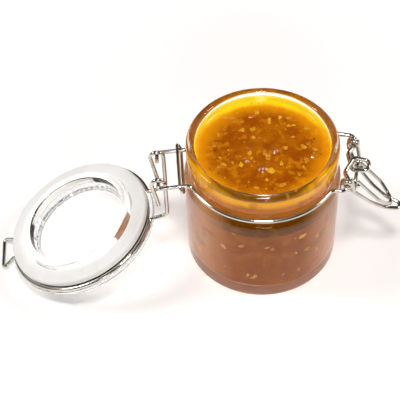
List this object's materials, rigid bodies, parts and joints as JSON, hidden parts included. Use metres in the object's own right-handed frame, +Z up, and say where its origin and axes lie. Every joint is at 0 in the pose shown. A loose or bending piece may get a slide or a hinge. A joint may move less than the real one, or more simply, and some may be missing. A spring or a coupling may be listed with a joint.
{
  "type": "chili paste jar",
  "caption": "Small clip-top glass jar filled nearly to the rim with chunky orange chili paste; the glass lid with its gasket is swung open on bent steel wires.",
  "frame": {"origin": "middle of the jar's flat bottom, on the table", "axes": "+Z up, -X towards the hinge and the open lid, +X towards the clamp, Y across"},
  "size_m": [0.1744, 0.067, 0.0644],
  "materials": {
    "jar_glass": "clear, smooth",
    "chili_paste": "moist, chunky, orange-brown with yellow bits",
    "steel_wire": "bright drawn wire",
    "lid_glass": "clear, smooth",
    "silicone": "translucent white"
  },
  "bodies": {
    "jar": {"glass_jar": "jar_glass", "paste": "chili_paste", "collar_wire": "steel_wire", "hinge_keeper": "steel_wire"},
    "lid": {"lid_glass": "lid_glass", "lid_gasket": "silicone", "lid_wire": "steel_wire"},
    "lever": {"lever_wire": "steel_wire"},
    "link": {"link_wire": "steel_wire"}
  },
  "joints": [
    {"name": "lid_hinge", "type": "hinge", "parent": "jar", "child": "lid", "pos_m": [-0.044, 0, 0.0499], "axis": [0, 1, 0], "range_deg": [-6, 200.7]},
    {"name": "lever_turn", "type": "hinge", "parent": "jar", "child": "lever", "pos_m": [0.0365, -0.0032, 0.0509], "axis": [0.2419, 0.9703, 0], "range_deg": [-28, 26]},
    {"name": "link_turn", "type": "hinge", "parent": "lever", "child": "link", "pos_m": [0.03941, -0.00393, 0.0449], "axis": [-0.2419, -0.9703, 0], "range_deg": [0, 128]}
  ]
}
